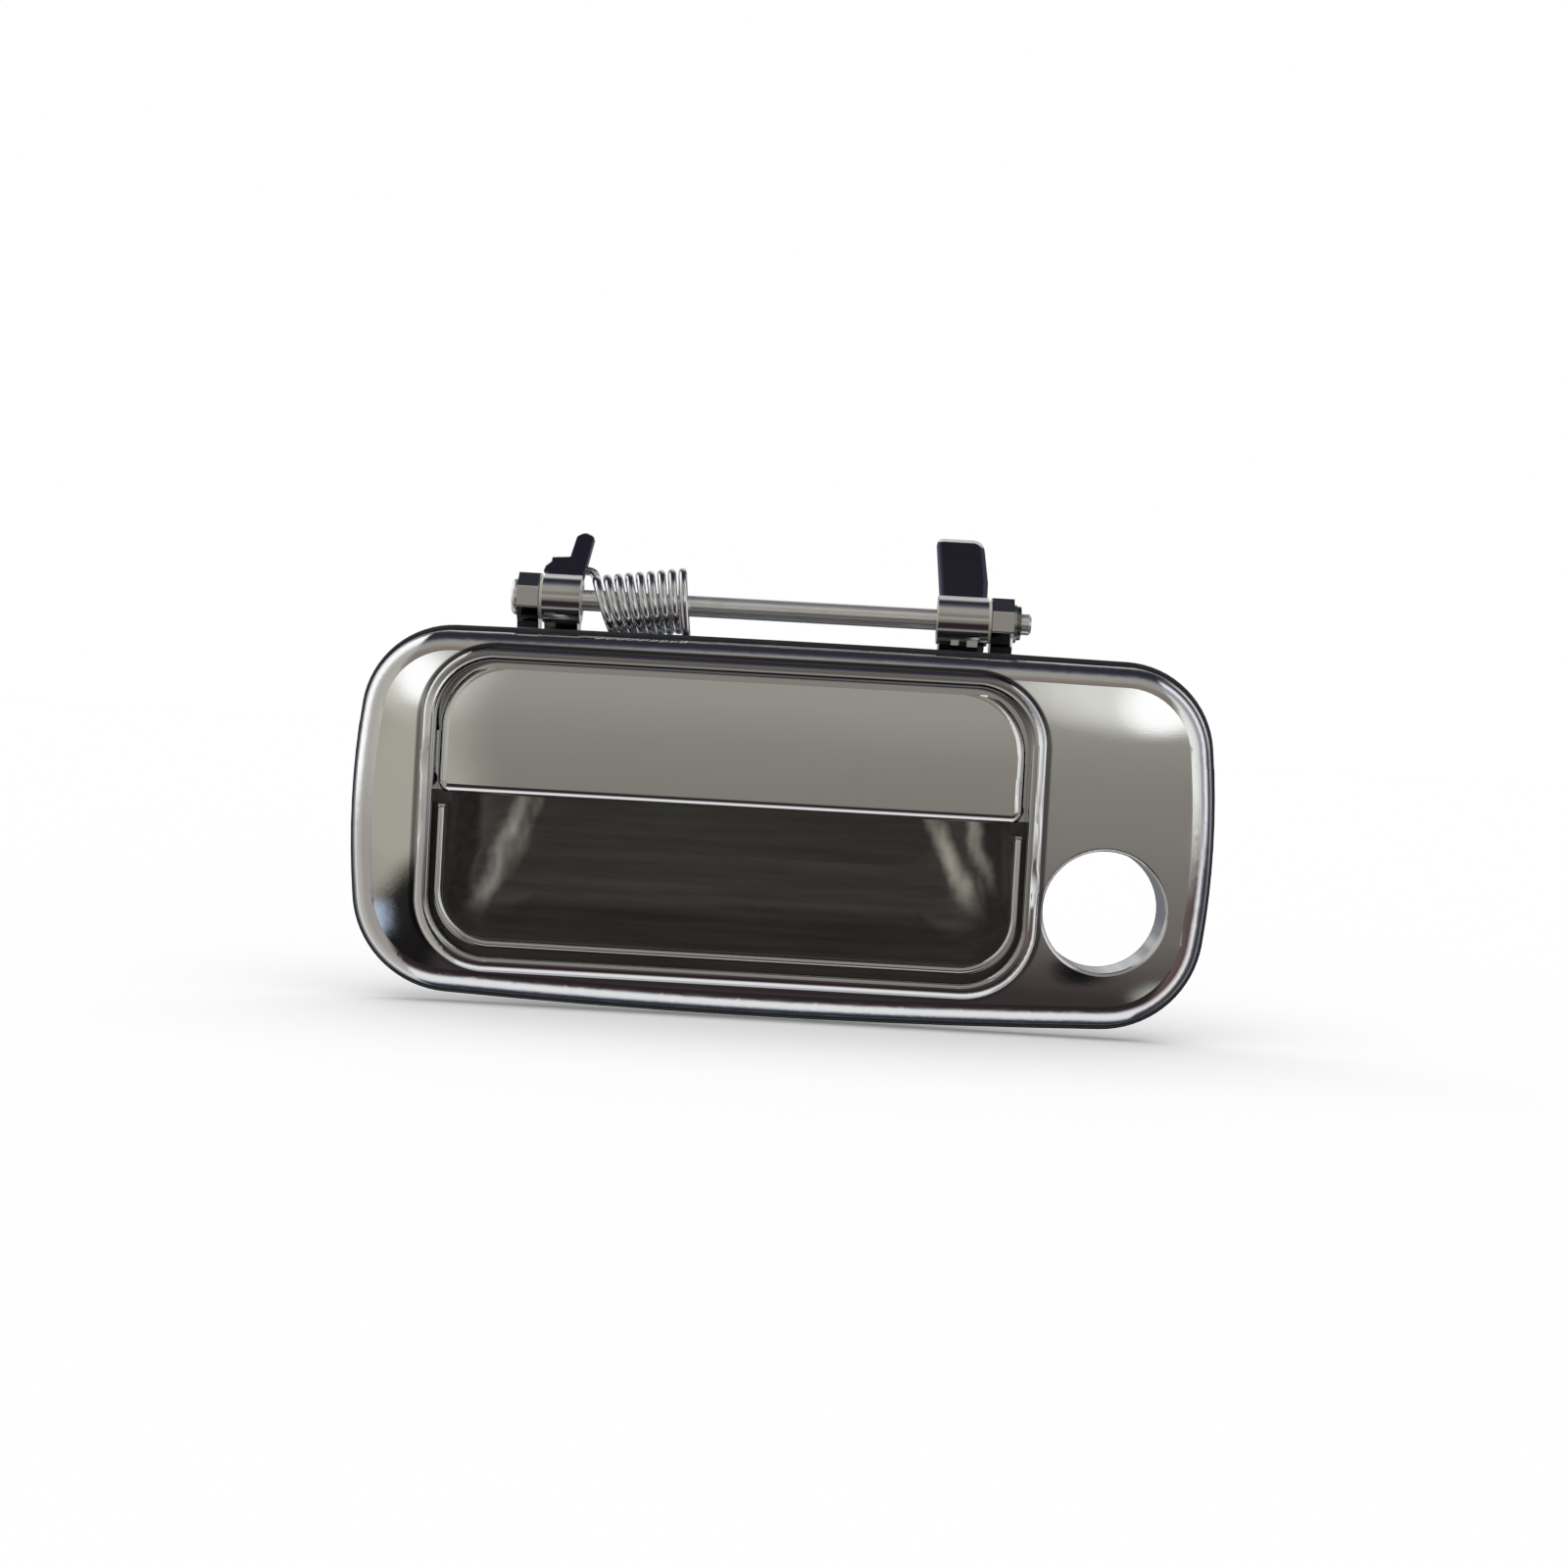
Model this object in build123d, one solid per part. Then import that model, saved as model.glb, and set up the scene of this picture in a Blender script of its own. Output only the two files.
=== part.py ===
from build123d import *
import math
import os

# Paddle handle for a door: a bezel with a hinged paddle over a finger cup, and a
# lock-cylinder hole to the right of the paddle.
# Frame: X to the right as seen from outside, Y into the door, Z up, in mm. Front is -Y.
# The door skin's outer surface is the plane y = 0.
# The origin lies midway between the two mounting bosses.

os.makedirs("parts", exist_ok=True)

# ---------------------------------------------------------------------------
# Shared dimensions
# ---------------------------------------------------------------------------
# Rounded outlines in (x, z): left, right, top, bottom, top and bottom corner radius,
# then, where the sides bow outwards, the bow of the ends, the top and the bottom.
BEZEL = (-95.0, 95.0, 40.5, -41.2, 19.5, 21.5, 4.4, 0.8, 2.4)
OPENING = (-76.8, 54.0, 33.3, -31.6, 12.8, 13.5)
BEAD = (-80.3, 57.7, 36.8, -35.3, 15.6, 16.5)       # raised bead round the opening
PADDLE = (-76.0, 52.9, 33.6, 4.1, 14.8, 2.6)
MIN_CORNER_R = 0.6                                  # least bottom corner radius

FLANGE_Y = -1.8             # back of the bezel flange
FACE_Y = -9.5               # front of the face at z = 0
CROWN_R = 500.0             # the face is crowned top to bottom
BLANK_Y = -14               # crowned blanks start here, ahead of every face
THROUGH_Y = (-20, 5)        # reach of cuts right through the bezel
WIDE_X = (-90, 90)          # reach of boxes that span the whole opening

LOCK_X, LOCK_Z = 71.8, -14.1
COLLAR_R = 16.2

CUP_SCREWS = [(-84.2, 19.0), (-84.2, -19.0), (62.6, 20.0), (60.6, -31.4)]       # x, z
COVER_SCREWS = [(-66.5, 18.0), (-28.0, 18.0), (10.0, 18.0), (47.0, 18.0)]       # x, z
CUP_FLANGE_Y = (FLANGE_Y + 0.05, -0.2)
CARRIER_BACK_Y = -4.3

BUMPERS = [(-74.7, 6.9), (51.6, 6.9)]               # x, z
BUMPER_PEG_R = 0.9
LEDGE_FRONT_Y = -3.3

PIVOT_Y, PIVOT_Z = 7.0, 48.5
SHAFT_R, SHAFT_FIT = 2.4, 0.05
LEFT_LUG_X, RIGHT_LUG_X = (-62.1, -57.3), (44.5, 49.4)
LEFT_HUB_X, RIGHT_HUB_X = (-56.5, -48.0), (32.4, 43.7)
HUB_R = 5.5
BUSH_R = 3.5


# ---------------------------------------------------------------------------
# Helpers
# ---------------------------------------------------------------------------
def outline(spec, grow=0.0):
    """Face in (x, z) of one of the rounded outlines, moved out by grow."""
    left, right, top, bottom, top_r, bottom_r, *bows = spec
    left, right, top, bottom = left - grow, right + grow, top + grow, bottom - grow
    end_bow, top_bow, bottom_bow = bows or (0, 0, 0)
    x0, x1 = left + end_bow, right - end_bow
    z1, z0 = top - top_bow, bottom + bottom_bow
    x_mid, z_mid = (left + right) / 2, (top + bottom) / 2

    def side(start, through, end, bow):
        return ThreePointArc(start, through, end) if bow else Line(start, end)

    face = make_face(Curve() + [
        side((x0, z1), (x_mid, top), (x1, z1), top_bow),
        side((x1, z1), (right, z_mid), (x1, z0), end_bow),
        side((x1, z0), (x_mid, bottom), (x0, z0), bottom_bow),
        side((x0, z0), (left, z_mid), (x0, z1), end_bow),
    ])
    face = fillet([v for v in face.vertices() if v.Y > z_mid], top_r + grow)
    low = [v for v in face.vertices() if v.Y < z_mid and abs(v.Y - z0) < 0.01]
    return fillet(low, max(MIN_CORNER_R, bottom_r + grow))


def slab(face, y0, y1):
    """Extrudes an (x, z) face from y0 to y1."""
    return extrude(Plane.XZ.offset(-y1) * face, y1 - y0)


def crown(y_front):
    """Everything behind the crowned surface whose foremost line is y_front at z = 0."""
    return Pos(0, y_front + CROWN_R, 0) * Rot(0, 90, 0) * Cylinder(CROWN_R, 320)


def crowned_slab(face, y_front, y_back):
    """Slab from a crowned front to a flat back."""
    return slab(face, BLANK_Y, y_back) & crown(y_front)


def box(x0, x1, y0, y1, z0, z1):
    """Box between limits; x0 and x1 may come in either order."""
    centre = Pos((x0 + x1) / 2, (y0 + y1) / 2, (z0 + z1) / 2)
    return centre * Box(abs(x1 - x0), y1 - y0, z1 - z0)


def rod_y(x, z, r, y0, y1):
    return Pos(x, (y0 + y1) / 2, z) * Rot(90, 0, 0) * Cylinder(r, y1 - y0)


def rod_x(x0, x1, r):
    """Cylinder on the pivot axis."""
    return Pos((x0 + x1) / 2, PIVOT_Y, PIVOT_Z) * Rot(0, 90, 0) * Cylinder(r, x1 - x0)


def polygon(points, radii):
    """Polygon face; radii maps corner points to their rounding."""
    face = make_face(Polyline(*points, close=True))
    for (x, y), r in radii.items():
        corner = min(face.vertices(), key=lambda v: (v.X - x) ** 2 + (v.Y - y) ** 2)
        face = fillet(corner, r)
    return face


def plate_x(points, radii, x0, x1):
    """Extrudes a (y, z) polygon from x0 to x1."""
    return extrude(Plane.YZ.offset(x0) * polygon(points, radii), x1 - x0)


def front_face(shape):
    return shape.faces().sort_by(Axis.Y)[0]


def fillet_if_possible(shape, edges, radius):
    """Guards a fillet the kernel may refuse; the shape then keeps its sharp edges."""
    try:
        return fillet(edges, radius)
    except Exception:
        return shape


# ---------------------------------------------------------------------------
# Bezel frame: one die casting with its lugs, bosses and lock collar
# ---------------------------------------------------------------------------
BEZEL_WALL = 2.5
BEZEL_EDGE_R, HOLLOW_EDGE_R = 5.0, 2.0
BEAD_PROUD, BEAD_EDGE_R, OPENING_EDGE_R = 1.2, 2.4, 1.0

LOCK_R, COLLAR_BACK_Y, LOCK_EDGE_R = 13.45, 4.0, 0.7

# mounting bosses, tapped M6, each with a web out to the end wall
BOSS_X, BOSS_R, TAP_R, TAP_DEPTH = 86.5, 4.9, 2.5, 7.0
WEB_START, WEB_END_X, WEB_HALF_T = 3, 93.4, 1.2

CUP_BOSS_R, CUP_PILOT_R, CUP_PILOT_Y = 3.2, 1.5, -6.6

# stiffening ribs across the hollow: x0, x1, y0, y1, z0, z1
RIBS = [
    (-56.0, -54.4, -6.3, -3.2, -39.1, -34.6),
    (-11.9, -10.3, -6.3, -3.2, -39.3, -34.6),
    (32.6, 34.2, -6.3, -3.2, -39.1, -34.6),
    (-12.0, -10.4, -6.4, -3.2, 35.4, 38.4),
    (57.0, 93.0, FACE_Y + 1.4, -4.4, 9.4, 10.8),
]

# lug profile in (y, z): from the rim wall through the panel cut-out, up behind the skin
LUG_POINTS = [
    (-6.0, 34.0), (-6.0, 36.4), (1.4, 36.4), (4.0, 38.2), (5.2, 41.4), (4.4, 44.4),
    (5.0, PIVOT_Z), (11.0, PIVOT_Z), (11.6, 42.6), (7.6, 35.8), (5.4, 34.0),
]
LUG_RADII = {(1.4, 36.4): 1.0, (4.0, 38.2): 2.0, (5.2, 41.4): 2.0, (5.4, 34.0): 1.0}
# octagonal lug eye round the pivot, in (y, z)
EYE_FLAT_R, EYE_EDGE_R = 5.5, 0.7
EYE_CORNER_R = EYE_FLAT_R / math.cos(math.pi / 8)
EYE_POINTS = [
    (PIVOT_Y + EYE_CORNER_R * math.cos(math.pi / 8 + k * math.pi / 4),
     PIVOT_Z + EYE_CORNER_R * math.sin(math.pi / 8 + k * math.pi / 4))
    for k in range(8)
]

# seat for the fixed leg of the return spring: x0, x1, y0, y1, z0, z1
SPRING_SEAT = (-28.4, -22.4, -6.0, 3.6, 33.9, 36.6)
LEDGES_X = [(-78.0, -72.6), (49.3, 55.2)]       # ledges for the rest bumpers
LEDGE_Z = (4.5, 9.6)
NOTCHES_X = [(-57.0, -47.5), (31.9, 44.1)]      # clearance for the carrier's arms


def rim_front_edges(rim, at_opening):
    """Edges of the rim's front face, either at the opening or round the outside."""
    left, right, top, bottom = OPENING[:4]

    def is_inside(edge):
        mid = edge.position_at(0.5)
        return left - 0.05 <= mid.X <= right + 0.05 and bottom - 0.05 <= mid.Z <= top + 0.05

    front = min(rim.faces(), key=lambda f: f.center().Y)
    return [e for e in front.edges() if is_inside(e) == at_opening]


def bezel_frame():
    body = crowned_slab(outline(BEZEL), FACE_Y, FLANGE_Y)
    body = fillet(front_face(body).edges(), BEZEL_EDGE_R)
    hollow = crowned_slab(outline(BEZEL, -BEZEL_WALL), FACE_Y + BEZEL_WALL, FLANGE_Y + 0.5)
    body = body - fillet(front_face(hollow).edges(), HOLLOW_EDGE_R)

    rim = crowned_slab(outline(BEAD), FACE_Y - BEAD_PROUD, FLANGE_Y)
    rim = rim - slab(outline(OPENING), *THROUGH_Y)
    rim = fillet(rim_front_edges(rim, False), BEAD_EDGE_R)
    rim = fillet(rim_front_edges(rim, True), OPENING_EDGE_R)
    body = body - slab(outline(OPENING, 0.8), *THROUGH_Y)
    body = body + rim

    body = body + rod_y(LOCK_X, LOCK_Z, COLLAR_R, FACE_Y + 1.2, COLLAR_BACK_Y)
    for side in (-1, 1):
        body = body + rod_y(side * BOSS_X, 0, BOSS_R, FACE_Y + 1.6, 0.0)
        body = body + box(side * (BOSS_X + WEB_START), side * WEB_END_X,
                          FACE_Y + 2.0, FLANGE_Y, -WEB_HALF_T, WEB_HALF_T)
    for x, z in CUP_SCREWS:
        body = body + rod_y(x, z, CUP_BOSS_R, FACE_Y + 2.2, FLANGE_Y)
    for rib in RIBS:
        body = body + box(*rib)

    for lug_x in (LEFT_LUG_X, RIGHT_LUG_X):
        body = body + plate_x(LUG_POINTS, LUG_RADII, *lug_x)
        body = body + plate_x(EYE_POINTS, {point: EYE_EDGE_R for point in EYE_POINTS}, *lug_x)
    body = body + box(*SPRING_SEAT)
    for ledge_x in LEDGES_X:
        body = body + box(*ledge_x, LEDGE_FRONT_Y, FLANGE_Y, *LEDGE_Z)

    # light-tight lip behind the paddle's sides and top edge
    lip = slab(outline(OPENING, 0.5), -3.6, -2.5) - slab(outline(OPENING, -2.4), *THROUGH_Y)
    body = body + (lip & box(*WIDE_X, -10, 5, 9.5, 40))

    # holes and clearances
    body = body - rod_y(LOCK_X, LOCK_Z, LOCK_R, -20, 10)
    for side in (-1, 1):
        body = body - rod_y(side * BOSS_X, 0, TAP_R, -TAP_DEPTH, 1)
    for x, z in CUP_SCREWS:
        body = body - rod_y(x, z, CUP_PILOT_R, CUP_PILOT_Y, 0)
    for notch_x in NOTCHES_X:
        body = body - box(*notch_x, -5.5, 0, 33.4, 36.6)
        body = body - box(*notch_x, -3.8, 0, 29.0, 32.0)
    for x, z in BUMPERS:
        body = body - rod_y(x, z, BUMPER_PEG_R, LEDGE_FRONT_Y - 0.1, -2.3)
    for x0, x1 in (LEFT_LUG_X, RIGHT_LUG_X):
        body = body - rod_x(x0 - 1, x1 + 1, SHAFT_R + SHAFT_FIT)

    # softened front edge of the lock hole
    lock_edges = [
        e for e in body.edges()
        if e.geom_type != GeomType.LINE
        and e.bounding_box().max.Y < -8.0
        and abs(e.bounding_box().size.X - 2 * LOCK_R) < 0.3
        and abs(e.bounding_box().center().X - LOCK_X) < 1.5
    ]
    return fillet_if_possible(body, lock_edges, LOCK_EDGE_R)


# ---------------------------------------------------------------------------
# Open-stop pads in the notches
# ---------------------------------------------------------------------------
STOP_PADS_X = [(-55.6, -48.8), (33.6, 42.4)]


def open_stop_pads():
    pads = [box(*pad_x, -5.48, -1.15, 33.5, 36.2) for pad_x in STOP_PADS_X]
    return Compound(children=[fillet(pad.edges().filter_by(Axis.X), 0.5) for pad in pads])


# ---------------------------------------------------------------------------
# Finger cup: a moulded scoop with a rolled front lip and a rear flange
# ---------------------------------------------------------------------------
CUP_LEFT, CUP_RIGHT, CUP_BOTTOM = -75.7, 53.0, -29.5    # outside of the front lip
CUP_WALL = 1.4
CUP_FRONT_Y = -7.75         # front edge of the plain wall, centre of the rolled lip
CUP_FRONT_TOP = 1.4         # ahead of the flange the wall is cut away above this height
LIP_R, LIP_BEND_R = 0.82, 12.0

# scoop: rounded sections whose walls curve in along quarter ellipses
SCOOP_Y, SCOOP_DEPTH = -7.4, 20.0
SCOOP_INSET, SCOOP_RISE = 17.5, 21.5
SCOOP_ROOF, SCOOP_ROOF_R = 11.0, 2.0
# angle along the ellipse in degrees, bottom corner radius
SCOOP_STEPS = [(0.0, 10.2), (18.0, 10.5), (36.0, 11.2), (54.0, 11.2), (69.0, 10.4),
               (80.0, 9.4), (86.5, 8.6)]

EAR_R, EAR_HALF_W = 3.9, 3.8
EAR_ROOTS_X = (-76, -76, 54)            # inner ends of the first three screws' ears
CUP_SCREW_HOLE_R = 1.7


def scoop(grow):
    """The scoop's space, grow outside its inner surface."""
    sections = [(BLANK_Y, 0.0, 0.0, SCOOP_STEPS[0][1])]
    for angle, r in SCOOP_STEPS:
        along, deep = math.cos(math.radians(angle)), math.sin(math.radians(angle))
        sections.append((SCOOP_Y + (SCOOP_DEPTH + grow) * deep,
                         SCOOP_INSET * (1 - along), SCOOP_RISE * (1 - along), r))
    faces = []
    for y, inset, rise, r in sections:
        spec = (CUP_LEFT + CUP_WALL + inset, CUP_RIGHT - CUP_WALL - inset,
                SCOOP_ROOF, CUP_BOTTOM + CUP_WALL + rise, SCOOP_ROOF_R, r)
        faces.append(Plane.XZ.offset(-y) * outline(spec, grow))
    return loft(faces[:2], ruled=True) + loft(faces[1:])


def cup_flange():
    y0, y1 = CUP_FLANGE_Y
    flange = slab(outline(BEAD, -0.4), y0, y1)
    for x, z in CUP_SCREWS:
        flange = flange + rod_y(x, z, EAR_R, y0, y1)
    for (x, z), root_x in zip(CUP_SCREWS, EAR_ROOTS_X):
        flange = flange + box(x, root_x, y0, y1, z - EAR_HALF_W, z + EAR_HALF_W)
    # slanting ear of the lower right screw
    flange = flange + Pos(54.3, (y0 + y1) / 2, -27.4) * Rot(0, 32.4, 0) * Box(14.5, y1 - y0, 7.0)
    flange = flange - box(*WIDE_X, -5, 5, 24.4, 60)
    flange = flange - (slab(outline(OPENING), -5, 5) & box(*WIDE_X, -6, 6, 13.4, 60))
    return flange - rod_y(LOCK_X, LOCK_Z, COLLAR_R + 0.35, -6, 6)


def rolled_lip():
    """U-shaped tube along the front edge, with rounded ends."""
    left, right = CUP_LEFT + CUP_WALL / 2, CUP_RIGHT - CUP_WALL / 2
    low, high = CUP_BOTTOM + CUP_WALL / 2, CUP_FRONT_TOP - 1.1
    bend, mid_bend = LIP_BEND_R, LIP_BEND_R * (1 - math.sqrt(0.5))

    def at(x, z):
        return (x, CUP_FRONT_Y, z)

    path = Wire([
        Edge.make_line(at(left, high), at(left, low + bend)),
        Edge.make_three_point_arc(
            at(left, low + bend), at(left + mid_bend, low + mid_bend), at(left + bend, low)),
        Edge.make_line(at(left + bend, low), at(right - bend, low)),
        Edge.make_three_point_arc(
            at(right - bend, low), at(right - mid_bend, low + mid_bend), at(right, low + bend)),
        Edge.make_line(at(right, low + bend), at(right, high)),
    ])
    tube = sweep(Plane(origin=path @ 0, z_dir=path % 0) * Circle(LIP_R), path)
    for x in (left, right):
        tube = tube + Pos(*at(x, high)) * Sphere(LIP_R)
    return tube


def finger_cup():
    shell = scoop(CUP_WALL) & box(*WIDE_X, CUP_FRONT_Y, 30, -60, 60)
    shell = shell - box(*WIDE_X, -20, FLANGE_Y, CUP_FRONT_TOP, 60)
    cup = shell + cup_flange() - scoop(0.0)
    for x, z in CUP_SCREWS:
        cup = cup - rod_y(x, z, CUP_SCREW_HOLE_R, -6, 6)
    return cup + rolled_lip()


# ---------------------------------------------------------------------------
# Screws, driven from behind
# ---------------------------------------------------------------------------
SLOT_HALF_W = 0.35


def pan_screw(x, z, seat_y, shank_r, tip_y, head_r, head_h):
    """Pan-head screw pointing to -Y, with a cross recess in its rear face."""
    head = rod_y(x, z, head_r, seat_y, seat_y + head_h)
    head = fillet(head.edges().sort_by(Axis.Y)[-1], min(0.7, head_h * 0.45))
    shank = rod_y(x, z, shank_r, tip_y, seat_y)
    shank = chamfer(shank.edges().sort_by(Axis.Y)[0], 0.4)
    reach, half = head_r * 0.62, SLOT_HALF_W
    slot_y = (seat_y + head_h - head_h * 0.55, seat_y + head_h + 1)
    recess = (box(x - reach, x + reach, *slot_y, z - half, z + half)
              + box(x - half, x + half, *slot_y, z - reach, z + reach))
    return head + shank - recess


def cup_screws():
    return Compound(children=[
        pan_screw(x, z, seat_y=CUP_FLANGE_Y[1], shank_r=1.45, tip_y=-6.2, head_r=2.9, head_h=1.7)
        for x, z in CUP_SCREWS])


def carrier_screws():
    return Compound(children=[
        pan_screw(x, z, seat_y=CARRIER_BACK_Y, shank_r=1.2, tip_y=-7.8, head_r=2.5, head_h=1.4)
        for x, z in COVER_SCREWS])


# ---------------------------------------------------------------------------
# Bezel gasket: soft ring under the flange with a lip that shows all round
# ---------------------------------------------------------------------------
GASKET_LIP, GASKET_INSET, GASKET_EDGE_R = 1.2, 3.0, 0.7


def bezel_gasket():
    gasket = slab(outline(BEZEL, GASKET_LIP), FLANGE_Y, 0.0)
    gasket = fillet_if_possible(gasket, front_face(gasket).edges(), GASKET_EDGE_R)
    return gasket - slab(outline(BEZEL, -GASKET_INSET), -6, 3)


# ---------------------------------------------------------------------------
# Rest bumpers: round pads pegged into the ledges
# ---------------------------------------------------------------------------
BUMPER_R, BUMPER_FRONT_Y, BUMPER_EDGE_R = 1.9, -4.0, 0.3


def rest_bumpers():
    bumpers = []
    for x, z in BUMPERS:
        pad = rod_y(x, z, BUMPER_R, BUMPER_FRONT_Y, LEDGE_FRONT_Y)
        pad = fillet(pad.edges().sort_by(Axis.Y)[0], BUMPER_EDGE_R)
        bumpers.append(pad + rod_y(x, z, BUMPER_PEG_R, LEDGE_FRONT_Y, -2.35))
    return Compound(children=bumpers)


# ---------------------------------------------------------------------------
# Pivot shaft with its washer and E-clip, and the hub bushes
# ---------------------------------------------------------------------------
SHAFT_HEAD_X, SHAFT_HEAD_R, SHAFT_END_X = -63.6, 4.1, 53.5
GROOVE_X, GROOVE_R = (50.25, 51.15), 1.9
WASHER_X, WASHER_R, WASHER_BORE_R = (49.45, 50.15), 4.3, 2.5
CLIP_X, CLIP_R, CLIP_INNER_R = (50.3, 51.1), 4.0, 2.75
CLIP_TOOTH_R, CLIP_GRIP_R = 3.3, 1.93
# the clip's teeth, measured from the pivot: y0, y1, z0, z1
CLIP_TEETH = [(-3.2, 3.2, 1.2, 3.3), (-3.6, -1.0, -1.9, -0.3), (1.0, 3.6, -1.9, -0.3)]
CLIP_MOUTH = (-1.7, 1.7, -6, -1.2)
BUSH_FLANGE_R, BUSH_FLANGE_T = 4.8, 0.7
BUSH_PROUD = 0.1            # sleeve beyond the hub at the end without a flange


def pivot_shaft():
    head = rod_x(SHAFT_HEAD_X, LEFT_LUG_X[0], SHAFT_HEAD_R)
    head = fillet(head.edges().sort_by(Axis.X)[0], 0.9)
    shaft = rod_x(LEFT_LUG_X[0], SHAFT_END_X, SHAFT_R)
    shaft = chamfer(shaft.edges().sort_by(Axis.X)[-1], 0.5)
    return shaft + head - (rod_x(*GROOVE_X, 4.0) - rod_x(50.2, 51.2, GROOVE_R))


def shaft_washer():
    return rod_x(*WASHER_X, WASHER_R) - rod_x(49, 51, WASHER_BORE_R)


def shaft_e_clip():
    def pivot_box(x0, x1, y0, y1, z0, z1):
        return box(x0, x1, PIVOT_Y + y0, PIVOT_Y + y1, PIVOT_Z + z0, PIVOT_Z + z1)

    top, front, back = [pivot_box(*CLIP_X, *tooth) for tooth in CLIP_TEETH]
    clip = rod_x(*CLIP_X, CLIP_R) - rod_x(50, 52, CLIP_INNER_R)
    clip = clip + (rod_x(*CLIP_X, CLIP_TOOTH_R) & (top + front + back))
    clip = clip - rod_x(50, 52, CLIP_GRIP_R)
    return clip - pivot_box(50, 52, *CLIP_MOUTH)


def bush(sleeve_x, flange_x):
    solid = rod_x(*sleeve_x, BUSH_R) + rod_x(*flange_x, BUSH_FLANGE_R)
    return solid - rod_x(-70, 70, SHAFT_R + SHAFT_FIT)


def left_hub_bush():
    x0, x1 = LEFT_HUB_X
    return bush((x0, x1 + BUSH_PROUD), (x0 - BUSH_FLANGE_T, x0))


def right_hub_bush():
    x0, x1 = RIGHT_HUB_X
    return bush((x0 - BUSH_PROUD, x1), (x1, x1 + BUSH_FLANGE_T))


# ---------------------------------------------------------------------------
# Paddle cover
# ---------------------------------------------------------------------------
COVER_BACK_Y, COVER_WALL, COVER_EDGE_R = -4.05, 2.0, 2.0
COVER_RIM_T = 1.25          # thickness in the rebate along the upper edge
SKIRT_TOP = 17.5            # the side walls end at this height
SWEEP_R = 22.62             # the cover stays outside this radius from the pivot
COVER_BOSS_R, COVER_PILOT_R = 2.7, 1.25


def paddle_cover():
    cover = crowned_slab(outline(PADDLE), FACE_Y, COVER_BACK_Y)
    cover = fillet(front_face(cover).edges(), COVER_EDGE_R)
    cover = cover - crowned_slab(outline(PADDLE, -COVER_WALL), FACE_Y + COVER_WALL, 0)
    above_skirt = box(*WIDE_X, BLANK_Y, 0, SKIRT_TOP, 60)
    cover = cover - (above_skirt & crown(FACE_Y + COVER_WALL))
    rebate = slab(outline(PADDLE, 3.0), BLANK_Y, 0) - slab(outline(PADDLE, -1.0), *THROUGH_Y)
    rebate = rebate & crown(FACE_Y + COVER_RIM_T)
    cover = cover - (rebate & above_skirt)
    cover = cover - rod_x(-100, 100, SWEEP_R)
    for x, z in COVER_SCREWS:
        cover = cover + rod_y(x, z, COVER_BOSS_R, FACE_Y + 1.0, -5.4)
    for x, z in COVER_SCREWS:
        cover = cover - rod_y(x, z, COVER_PILOT_R, -8.1, 0)
    return cover


# ---------------------------------------------------------------------------
# Paddle carrier: plate, two goose-neck arms, hubs, spring block with finger,
# latch tab
# ---------------------------------------------------------------------------
PLATE_SPEC = (PADDLE[0] + 2.15, PADDLE[1] - 2.15, 24.0, PADDLE[3] + 2.35, 4.0, 1.4)
POCKETS_X = [(-44.5, -31.5), (-24.5, -12), (-8, 6.5), (14, 29.5)]

# arm profile in (y, z)
ARM_POINTS = [
    (1.5, PIVOT_Z), (4.6, 43.0), (8.0, 38.2), (6.3, 31.5), (4.5, 26.6), (0.0, 23.4),
    (-6.2, 23.4), (-6.2, 14.6), (-2.4, 14.9), (4.6, 18.0), (9.6, 23.4), (11.9, 30.0),
    (13.4, 38.0), (12.5, PIVOT_Z),
]
ARM_RADII = {
    (8.0, 38.2): 6.0, (6.3, 31.5): 8.0, (4.5, 26.6): 3.0, (0.0, 23.4): 2.0,
    (-2.4, 14.9): 3.0, (4.6, 18.0): 8.0, (9.6, 23.4): 8.0, (11.9, 30.0): 12.0,
    (13.4, 38.0): 10.0,
}
ARM_INSETS = [(LEFT_HUB_X, 0.5), (RIGHT_HUB_X, 0.6)]    # hub, arm's inset at each end

LEAN = 12.0                 # degrees about the pivot, for the block and the tab
# spring block with its finger, and latch tab, in (x, z) before they lean
BLOCK_POINTS = [
    (-56.2, 49.0), (-56.2, 54.4), (-57.05, 54.6), (-56.6, 55.9), (-55.4, 57.0),
    (-55.2, 58.0), (-51.2, 58.3), (-50.0, 63.2), (-48.2, 64.2), (-46.0, 63.2),
    (-48.2, 52.0), (-48.2, 49.0),
]
BLOCK_RADII = {(-50.0, 63.2): 0.9, (-48.2, 64.2): 2.0, (-46.0, 63.2): 0.9, (-51.2, 58.3): 0.5}
BLOCK_HALF_T = 1.3
TAB_POINTS = [
    (32.7, 49.0), (32.7, 54.0), (31.4, 67.4), (42.1, 67.4), (43.5, 57.6), (43.5, 49.0),
]
TAB_RADII = {(31.4, 67.4): 1.4, (42.1, 67.4): 2.8, (43.5, 57.6): 6.0}
TAB_HALF_T = 1.4


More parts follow.
